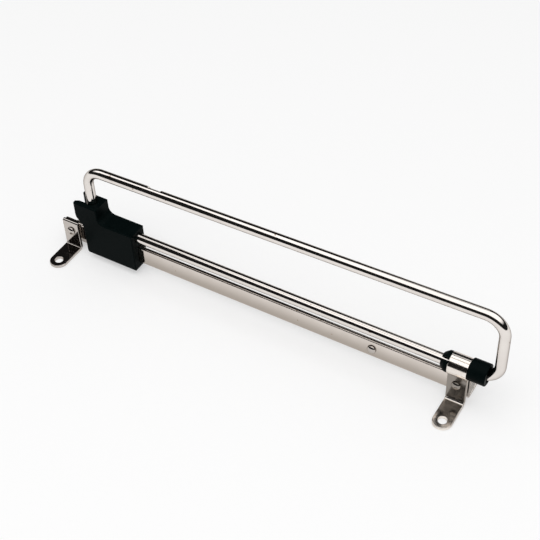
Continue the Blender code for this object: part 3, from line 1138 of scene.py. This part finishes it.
@dataclass
class RearBracket(StripBracket):
    """L-shaped bracket, one on each face of the bar's rear end."""

    near_rise: float = 0.0014
    far_drop: float = 0.00295
    top_rounding: float = 0.0014
    top_steps: int = 10

    def round_top(self, sweep: Sweep) -> None:
        """Draw the upright's last stretch with its outer top edge rounded.

        Args:
            sweep: Sweep that is below the upright's top by the rounding.
        """
        outer_face = -self.plan.upright_y - self.plan.strip_thickness / 2
        moved = 0.0
        for step in range(self.top_steps):
            start = math.pi / 2 * step / self.top_steps
            end = math.pi / 2 * (step + 1) / self.top_steps
            sweep.run(UP * self.top_rounding * (math.sin(end) - math.sin(start)))
            reach = outer_face + moved + self.edge_rounding + PLANE_TOLERANCE
            outer = [vert for vert in verts_of(sweep.edges) if vert.co.y < reach]
            inward = self.top_rounding * (math.cos(start) - math.cos(end))
            bmesh.ops.translate(sweep.work, vec=ACROSS * inward, verts=outer)
            moved += inward

    def build_side(self, side: Side, name: str, node: str, finish: Material, cut_shade_finish: Material) -> None:
        """Model and dress the bracket on one side.

        Args:
            side: Side of the bar.
            name: Name of the piece.
            node: Node that it stands for.
            finish: Plated finish of strip steel.
            cut_shade_finish: Finish of the upright's cut sides, darkened as painted shade.
        """
        plan = self.plan
        top = plan.bar_high.z + (self.near_rise if side is Side.NEAR else -self.far_drop)
        sweep = self.foot()
        work = sweep.work
        sweep.run(UP * (top - self.top_rounding - self.upright_start))
        self.round_top(sweep)
        bmesh.ops.edgeloop_fill(work, edges=sweep.edges)
        bmesh.ops.recalc_face_normals(work, faces=work.faces[:])
        place = Matrix.Translation((plan.rear_x, 0.0, 0.0)) @ Matrix.Rotation(side.value, 4, "Z")
        bmesh.ops.transform(work, matrix=place, verts=work.verts[:])
        item = as_object(name, work)
        self.drill(item, plan.rear_x, plan.bar_middle_z)
        self.hand_over(item, node, Body.FIXED, Slot.STRIP, finish, STEEL_CREASE)
        low = plan.rear_x - plan.strip_width / 2
        self.dress_ends(item, low, low + plan.strip_width, cut_shade_finish, plan.strip_thickness)

    def build(self, finish: Material, cut_shade_finish: Material) -> None:
        """Model and dress both brackets.

        Args:
            finish: Plated finish of strip steel.
            cut_shade_finish: Finish of the uprights' cut sides, darkened as painted shade.
        """
        self.build_side(Side.NEAR, "near_rear_bracket", "rear_bracket_near", finish, cut_shade_finish)
        self.build_side(Side.FAR, "far_rear_bracket", "rear_bracket_far", finish, cut_shade_finish)


@dataclass
class SaddleBracket(StripBracket):
    """One strip bent into two feet, two uprights and a ring round the guide bush."""

    bend_inner_radius: float = 0.0017
    neck_radius: float = 0.0016
    neck_steps: int = 10
    ring_steps: int = 40

    def build(self, finish: Material, side_finish: Material) -> None:
        """Model one half, mirror it and dress the bracket.

        Args:
            finish: Plated finish of the strip's faces, with its band of painted shade.
            side_finish: Finish of the strip's sides.
        """
        plan = self.plan
        ring_radius = plan.sleeve_radius + plan.seat_gap + plan.strip_thickness / 2
        neck_y = plan.upright_y + self.neck_radius
        reach = ring_radius + self.neck_radius
        neck_z = plan.rod_axis_z - math.sqrt(reach**2 - neck_y**2)
        neck_turn = math.acos(neck_y / reach)
        sweep = self.foot()
        work = sweep.work
        sweep.run(UP * (neck_z - self.upright_start))
        sweep.bend(Vector((0.0, -neck_y, neck_z)), ALONG, neck_turn, self.neck_steps)
        ring_centre = UP * plan.rod_axis_z
        sweep.bend(ring_centre, -ALONG, math.pi / 2 + neck_turn, self.ring_steps)
        for vert in verts_of(sweep.edges):
            vert.co.y = 0.0
        bmesh.ops.mirror(
            work, geom=work.verts[:] + work.edges[:] + work.faces[:], axis="Y", merge_dist=PLANE_TOLERANCE
        )
        sweep.close()
        bmesh.ops.translate(work, vec=ALONG * plan.front_x, verts=work.verts[:])
        item = as_object("ringed_saddle_bracket", work)
        self.drill(item, plan.front_x, plan.front_rivet_z)
        self.hand_over(item, "front_saddle_bracket", Body.FIXED, Slot.STRIP, finish, STEEL_CREASE)
        low = plan.front_x - plan.strip_width / 2
        self.dress_ends(item, low, low + plan.strip_width, side_finish)


@dataclass
class Rivets(SubAssembly):
    """Dome-headed rivets through the brackets, and the one in the bar that stops the block."""

    shank_radius: float = 0.0020
    head_radius: float = 0.0031
    head_height: float = 0.0020
    sides: int = 64
    dome_steps: int = 18

    def dome(self, base: float) -> list[Vector]:
        """Points of a head's half section, from its rim to its crown.

        Args:
            base: Place of the head's seat along Y.

        Returns:
            Points across the rail, with their distance from the axis in Z.
        """
        points = []
        for step in range(self.dome_steps + 1):
            angle = math.pi / 2 * (1 - step / self.dome_steps)
            along = base + self.head_height * math.cos(angle)
            points.append(Vector((0.0, along, self.head_radius * math.sin(angle))))
        return points

    def build_one(self, name: str, node: str, x: float, z: float, grip: float, finish: Material) -> None:
        """Model and dress one rivet.

        Args:
            name: Name of the piece.
            node: Node that it stands for.
            x: Place along the rail.
            z: Height of its axis.
            grip: Distance between its heads.
            finish: Plated finish of the rivet.
        """
        far_half = [Vector((0.0, grip / 2, self.shank_radius))] + self.dome(grip / 2)
        near_half = [Vector((0.0, -point.y, point.z)) for point in reversed(far_half)]
        work = bmesh.new()
        line(work, near_half + far_half)
        full_turn(work, Vector(), ACROSS, self.sides)
        bmesh.ops.translate(work, vec=(x, 0.0, z), verts=work.verts[:])
        item = as_object(name, work)
        self.hand_over(item, node, Body.FIXED, Slot.STRIP, finish, RIVET_CREASE)

    def build(self, finish: Material, front_finish: Material) -> None:
        """Model and dress the three rivets.

        Args:
            finish: Plated finish of the rear rivet and the stop rivet.
            front_finish: Finish of the rivet in the saddle, whose band of painted shade darkens it.
        """
        plan = self.plan
        middle = plan.bar_middle_z
        raised = plan.front_rivet_z
        grip = plan.rivet_grip
        stop_grip = 2 * (plan.bar_high.y + plan.seat_gap)
        self.build_one("domed_rear_rivet", "rear_rivet", plan.rear_x, middle, grip, finish)
        self.build_one("domed_front_rivet", "front_rivet", plan.front_x, raised, grip, front_finish)
        self.build_one("domed_stop_rivet", "stop_rivet", plan.stop_x, middle, stop_grip, finish)


@dataclass
class GuideBush(SubAssembly):
    """Split plastic bush with a snap collar behind the saddle and a nesting head in front of it."""

    collar_wall: float = 0.00335
    collar_length: float = 0.0021
    taper_length: float = 0.0032
    taper_end_wall: float = 0.0009
    head_wall: float = 0.0036
    head_length: float = 0.0116
    head_lift: float = 0.0012
    edge_rounding: float = 0.0006
    slit_width: float = 0.0020
    slit_angle: float = math.radians(34.0)
    nest_depth: float = 0.0066
    funnel_gap: float = 0.0004
    funnel_lift: float = 0.0046
    sides: int = 96
    edge_segments: int = 4

    @property
    def head_back(self) -> float:
        """Distance from the saddle's middle to the head's back face."""
        return self.plan.strip_width / 2 + self.plan.seat_gap

    @property
    def head_front(self) -> float:
        """Distance from the saddle's middle to the head's front face."""
        return self.head_back + self.head_length

    @property
    def tail(self) -> float:
        """Distance from the saddle's middle back to the collar's tapered end."""
        return self.head_back + self.collar_length + self.taper_length

    def body(self) -> BMesh:
        """Turn the bush's half section about the rod.

        Returns:
            The bush before its cuts, about the X axis.
        """
        bore = self.plan.bore_radius
        sleeve = self.plan.sleeve_radius
        collar = bore + self.collar_wall
        head = bore + self.head_wall
        section = [
            (-self.tail, bore),
            (-self.tail, bore + self.taper_end_wall),
            (-self.head_back - self.collar_length, collar),
            (-self.head_back, collar),
            (-self.head_back, sleeve),
            (self.head_back, sleeve),
            (self.head_back, head),
            (self.head_front, head),
            (self.head_front, bore),
        ]
        work = bmesh.new()
        corners = filled(work, [Vector((x, 0.0, radius)) for x, radius in section])
        outer = [vert for vert, (_, radius) in zip(corners, section) if radius not in (bore, sleeve)]
        round_off(work, outer, self.edge_rounding, self.edge_segments)
        bmesh.ops.delete(work, geom=work.faces[:], context="FACES_ONLY")
        full_turn(work, Vector(), ALONG, self.sides)
        for vert in work.verts:
            on_head = vert.co.x > self.head_back - PLANE_TOLERANCE
            if on_head and math.hypot(vert.co.y, vert.co.z) > sleeve + PLANE_TOLERANCE:
                vert.co.z += self.head_lift
        return work

    def funnel(self) -> BMesh:
        """Slot that the loop's front bend nests in, higher toward the front.

        Returns:
            The cutter, about the X axis.
        """
        radius = self.plan.rod_radius + self.funnel_gap
        front = self.head_front + self.edge_rounding
        work = bmesh.new()
        for x, lift in ((self.head_front - self.nest_depth, 0.0), (front, 0.0), (front, self.funnel_lift)):
            place = Matrix.Translation((x, 0.0, lift)) @ Matrix.Rotation(math.pi / 2, 4, "Y")
            bmesh.ops.create_circle(work, segments=self.sides, radius=radius, matrix=place)
        bmesh.ops.convex_hull(work, input=work.verts[:])
        bmesh.ops.delete(work, geom=[v for v in work.verts if not v.link_faces], context="VERTS")
        bmesh.ops.recalc_face_normals(work, faces=work.faces[:])
        return work

    def slit(self) -> BMesh:
        """Thin box that splits the sleeve and collar on the viewer's side.

        Returns:
            The cutter, about the X axis.
        """
        half = self.slit_width / 2
        low = Vector((-self.tail - self.edge_rounding, -half, 0.0))
        reach = 2 * (self.plan.bore_radius + self.collar_wall)
        high = Vector((self.head_back - self.edge_rounding, half, reach))
        work = block_cutter(low, high)
        bmesh.ops.rotate(work, matrix=Matrix.Rotation(self.slit_angle, 3, "X"), verts=work.verts[:])
        return work

    def build(self, finish: Material) -> None:
        """Model and dress the bush.

        Args:
            finish: Black plastic.
        """
        item = as_object("split_guide_bush", self.body())
        carve(item, self.funnel())
        carve(item, self.slit())
        item.data.transform(Matrix.Translation((self.plan.front_x, 0.0, self.plan.rod_axis_z)))
        self.hand_over(item, "guide_bush", Body.FIXED, Slot.PLASTIC, finish, PLASTIC_CREASE)


@dataclass
class SlideBlock(SubAssembly):
    """Plastic block that grips the loop's rear bend and rides on the carrier bar."""

    loop: RodLoop
    length_ahead: float = 0.0360
    side_wall: float = 0.0035
    floor_wall: float = 0.0033
    roof_wall: float = 0.0018
    collar_front_wall: float = 0.0042
    rear_wall: float = 0.0015
    rear_flare: float = 0.0057
    flare_middle: float = 0.00175
    flare_half_height: float = 0.0030
    flare_rounding: float = 0.0024
    grip: float = 0.0046
    fillet: float = 0.0050
    chamfer: float = 0.0012
    edge_rounding: float = 0.0007
    snap_bite: float = 0.0003
    mouth_flare: float = 0.0014
    arc_segments: int = 12
    edge_segments: int = 4

    @property
    def channel_radius(self) -> float:
        """Radius of the channel that the rod lies in."""
        return self.plan.rod_radius + self.plan.slide_gap

    @property
    def origin(self) -> Vector:
        """Point where the lower rod meets the rear leg's axis."""
        return Vector((self.plan.rear_leg_x, 0.0, self.plan.rod_axis_z))

    def body(self) -> BMesh:
        """Extrude the block's side outline and round its edges.

        Returns:
            The block before its cuts, with the rear leg's axis at the origin.
        """
        plan = self.plan
        bottom = plan.bar_low.z - plan.slide_gap - self.floor_wall - plan.rod_axis_z
        roof = self.channel_radius + self.roof_wall
        top = plan.bend_radius + self.grip
        collar_front = self.channel_radius + self.collar_front_wall
        rear = -self.channel_radius - self.rear_wall
        overhang = rear - self.rear_flare
        side = [
            (rear, bottom),
            (self.length_ahead, bottom),
            (self.length_ahead, roof),
            (collar_front, roof),
            (collar_front, top),
            (overhang, top),
            (overhang, self.flare_middle + self.flare_half_height),
            (rear, self.flare_middle - self.flare_half_height),
        ]
        half_width = self.channel_radius + self.side_wall
        work = bmesh.new()
        corners = filled(work, [Vector((x, -half_width, z)) for x, z in side])
        heel, _, _, collar_foot, _, _, *flare = corners
        round_off(work, [heel], self.chamfer, 1)
        round_off(work, [collar_foot], self.fillet, self.arc_segments)
        round_off(work, flare, self.flare_rounding, self.arc_segments)
        extruded(work, ACROSS * 2 * half_width)
        rims = [edge for edge in work.edges if abs(edge.verts[0].co.y - edge.verts[1].co.y) < half_width]
        round_off(work, rims, self.edge_rounding, self.edge_segments)
        return work

    def bar_slot(self) -> BMesh:
        """Slot that the bar runs in.

        Returns:
            The cutter, with the rear leg's axis at the origin.
        """
        plan = self.plan
        gap = plan.slide_gap
        bottom = plan.bar_low.z - gap - plan.rod_axis_z
        top = plan.bar_high.z + gap - plan.rod_axis_z
        low = Vector((-2 * self.length_ahead, plan.bar_low.y - gap, bottom))
        high = Vector((2 * self.length_ahead, plan.bar_high.y + gap, top))
        return block_cutter(low, high)

    def leg_slot(self) -> BMesh:
        """Slot that the rear leg snaps through, narrower than the rod and flared at its mouth.

        Returns:
            The cutter, with the rear leg's axis at the origin.
        """
        neck = self.plan.rod_radius - self.snap_bite
        mouth = neck + self.mouth_flare
        rear = -self.channel_radius - self.rear_wall - self.rear_flare
        floor = self.plan.bend_radius - self.channel_radius - self.grip
        height = 2 * self.channel_radius + 3 * self.grip
        half = [
            (0.0, neck),
            (rear + 2 * self.mouth_flare, neck),
            (rear, mouth),
            (rear - self.mouth_flare, mouth + self.mouth_flare / 2),
        ]
        work = bmesh.new()
        points = half + [(x, -y) for x, y in reversed(half)]
        filled(work, [Vector((x, y, floor)) for x, y in points])
        extruded(work, UP * height)
        return work

    def build(self, finish: Material) -> None:
        """Model and dress the block.

        Args:
            finish: Black plastic.
        """
        item = as_object("moulded_slide_block", self.body())
        carve(item, self.bar_slot())
        channel = self.loop.tube(self.channel_radius)
        bmesh.ops.translate(channel, vec=-self.origin, verts=channel.verts[:])
        carve(item, channel)
        carve(item, self.leg_slot())
        item.data.transform(Matrix.Translation(self.origin))
        self.hand_over(item, "slide_block", Body.SLIDING, Slot.PLASTIC, finish, PLASTIC_CREASE)


# Studio


def stage_sheet(name: str, corners: list[Vector]) -> Object:
    """Make a flat sheet that isn't part of the object.

    Args:
        name: Name of the sheet.
        corners: Corners of its outline in order.

    Returns:
        The stage object.
    """
    work = bmesh.new()
    filled(work, corners)
    bmesh.ops.triangulate(work, faces=work.faces[:])
    item = as_object(name, work)
    return item


@dataclass(frozen=True)
class Panel:
    """Flat lamp panel that hangs level over the rail and dims toward its left and right ends."""

    name: str
    corners: tuple[tuple[float, float], ...]
    left_fade: tuple[float, float]
    right_fade: tuple[float, float]
    light: float
    mirrored: bool
    height: float = 1.0

    def cloth(self) -> Material:
        """Build the panel's glowing cloth.

        Returns:
            The material.
        """
        material = bpy.data.materials.new(self.name)
        sheet = NodeSheet(material)
        along = sheet.object_axis("X")
        left = sheet.stepped(along, *self.left_fade)
        right = sheet.stepped(along, *self.right_fade)
        strength = sheet.maths("MULTIPLY", sheet.maths("MULTIPLY", left, right), self.light)
        sheet.join(sheet.glow(strength), sheet.surface)
        return material

    def hang(self) -> None:
        """Hang the panel out of the camera's sight, to light matt surfaces or to show in the plate."""
        item = stage_sheet(self.name, [Vector((x, y, self.height)) for x, y in self.corners])
        item.visible_camera = False
        item.visible_shadow = False
        item.visible_diffuse = not self.mirrored
        item.visible_glossy = self.mirrored
        item.data.materials.append(self.cloth())


LAMP_PANEL = Panel(
    name="lamp_panel",
    corners=((-1.2, -2.2), (2.2, -2.2), (2.2, 0.5), (-1.2, 0.5)),
    left_fade=(-1.3, -1.2),
    right_fade=(2.3, 2.2),
    light=2.35,
    mirrored=False,
    height=2.5,
)
SHINE_PANEL = Panel(
    name="shine_panel",
    corners=(
        (-3.0, -0.43),
        (-0.85, -0.41),
        (-0.69, -0.20),
        (-0.58, -0.17),
        (-0.52, -0.39),
        (-0.36, -0.61),
        (-0.24, -0.64),
        (-0.18, -0.70),
        (2.4, -0.70),
        (2.4, 1.5),
        (0.70, 1.3),
        (0.0, 0.62),
        (-0.28, 0.62),
        (-0.42, 0.48),
        (-0.70, 0.30),
        (-3.0, 0.28),
    ),
    left_fade=(-2.8, -0.9),
    right_fade=(2.4, 0.9),
    light=1.4,
    mirrored=True,
)
CARD_PANEL = Panel(
    name="card_panel",
    corners=((-0.42, 0.84), (0.08, 0.84), (0.08, 1.2), (-0.30, 1.2)),
    left_fade=(-0.5, -0.45),
    right_fade=(0.2, 0.1),
    light=0.90,
    mirrored=True,
)


@dataclass
class Studio:
    """Pale table under overhead lamp panels in a dark room, and the camera."""

    table_size: float = 12.0
    table_white: Colour = (0.55, 0.55, 0.55, 1.0)
    table_glow: float = 0.43
    room_fill: float = 0.60
    room_shine: float = 0.014
    backdrop_white: float = 0.95
    target: Vector = Vector((0.00345, 0.0, 0.0493))
    azimuth: float = math.radians(32.49)
    elevation: float = math.radians(44.31)
    roll: float = math.radians(-2.68)
    distance: float = 0.76596
    focal_pixels: float = 1204.02
    image_pixels: float = 540.0
    sensor_width: float = 36.0
    clip_ratio: float = 100.0

    def make_table(self) -> None:
        """Lay the pale table, which is a little brighter to the camera and in the plate than it is lit."""
        half = self.table_size / 2
        ring = ((-half, -half), (half, -half), (half, half), (-half, half))
        table = stage_sheet("pale_table", [Vector((x, y, 0.0)) for x, y in ring])
        material = bpy.data.materials.new("pale_table")
        sheet = NodeSheet(material)
        matt = sheet.add("ShaderNodeBsdfDiffuse")
        matt.inputs["Color"].default_value = self.table_white
        rays = sheet.add("ShaderNodeLightPath").outputs
        bounced = sheet.maths("MAXIMUM", rays["Is Glossy Ray"], rays["Is Transmission Ray"])
        seen = sheet.maths("MAXIMUM", rays["Is Camera Ray"], bounced)
        both = sheet.add("ShaderNodeAddShader")
        sheet.join(matt.outputs["BSDF"], both.inputs[0])
        sheet.join(sheet.glow(sheet.maths("MULTIPLY", seen, self.table_glow)), both.inputs[1])
        sheet.join(both.outputs["Shader"], sheet.surface)
        table.data.materials.append(material)

    def make_room(self) -> None:
        """Set the room: white to the camera, dark in the plate, and a soft fill on matt surfaces."""
        world = bpy.data.worlds.new("studio_room")
        world.cycles.sampling_method = "NONE"
        sheet = NodeSheet(world, "ShaderNodeOutputWorld")
        background = sheet.add("ShaderNodeBackground")
        rays = sheet.add("ShaderNodeLightPath").outputs
        plain = sheet.add("ShaderNodeMix")
        plain.inputs["A"].default_value = self.room_fill
        plain.inputs["B"].default_value = self.room_shine
        seen = sheet.add("ShaderNodeMix")
        seen.inputs["B"].default_value = self.backdrop_white
        sheet.join(rays["Is Glossy Ray"], plain.inputs["Factor"])
        sheet.join(plain.outputs["Result"], seen.inputs["A"])
        sheet.join(rays["Is Camera Ray"], seen.inputs["Factor"])
        sheet.join(seen.outputs["Result"], background.inputs["Strength"])
        sheet.join(background.outputs["Background"], sheet.surface)
        bpy.context.scene.world = world

    def make_camera(self) -> None:
        """Place the camera where the photograph was taken from."""
        level = math.cos(self.elevation)
        level_right = Vector((math.cos(self.azimuth), math.sin(self.azimuth), 0.0))
        level_back = Vector((math.sin(self.azimuth), -math.cos(self.azimuth), 0.0))
        back = level * level_back + math.sin(self.elevation) * UP
        level_up = back.cross(level_right)
        right = math.cos(self.roll) * level_right + math.sin(self.roll) * level_up
        up = back.cross(right)
        eye = self.target + self.distance * back
        data = bpy.data.cameras.new("photo_camera")
        data.sensor_width = self.sensor_width
        data.lens = self.focal_pixels / self.image_pixels * self.sensor_width
        data.clip_start = self.distance / self.clip_ratio
        data.clip_end = self.distance * self.clip_ratio
        camera = bpy.data.objects.new("photo_camera", data)
        turn = Matrix((right, up, back)).transposed()
        camera.matrix_world = Matrix.Translation(eye) @ turn.to_4x4()
        bpy.context.scene.collection.objects.link(camera)
        bpy.context.scene.camera = camera

    def build(self) -> None:
        """Build the table, the light, the room and the camera."""
        self.make_table()
        for panel in (LAMP_PANEL, SHINE_PANEL, CARD_PANEL):
            panel.hang()
        self.make_room()
        self.make_camera()
        bpy.context.scene.view_settings.view_transform = "Standard"
        LOG.info("studio is set")


def clear_scene() -> None:
    """Remove everything that the scene starts with."""
    for item in list(bpy.data.objects):
        bpy.data.objects.remove(item)


def main() -> None:
    """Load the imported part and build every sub-assembly and the studio."""
    logging.basicConfig(level=logging.INFO, format="%(name)s: %(message)s")
    clear_scene()
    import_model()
    plan = RailPlan.from_frame()
    rod_plate = ROD_PLATE.material()
    strip_plate = STRIP_PLATE.material()
    saddle_plate = SADDLE_PLATE.material()
    # Cut faces: near black, mostly painted shade.
    cut_edge_shade = CUT_EDGE_SHADE.material()
    plastic = BLACK_PLASTIC.material()
    CarrierBar(plan).build(BAR_PLATE.material(), cut_edge_shade)
    RearBracket(plan).build(strip_plate, cut_edge_shade)
    SaddleBracket(plan).build(saddle_plate, strip_plate)
    # The saddle's finish darkens the front rivet with its painted shade.
    Rivets(plan).build(strip_plate, saddle_plate)
    GuideBush(plan).build(plastic)
    loop = RodLoop(plan)
    loop.build(rod_plate)
    SlideBlock(plan, loop).build(plastic)
    Studio().build()


if __name__ == "__main__":
    main()
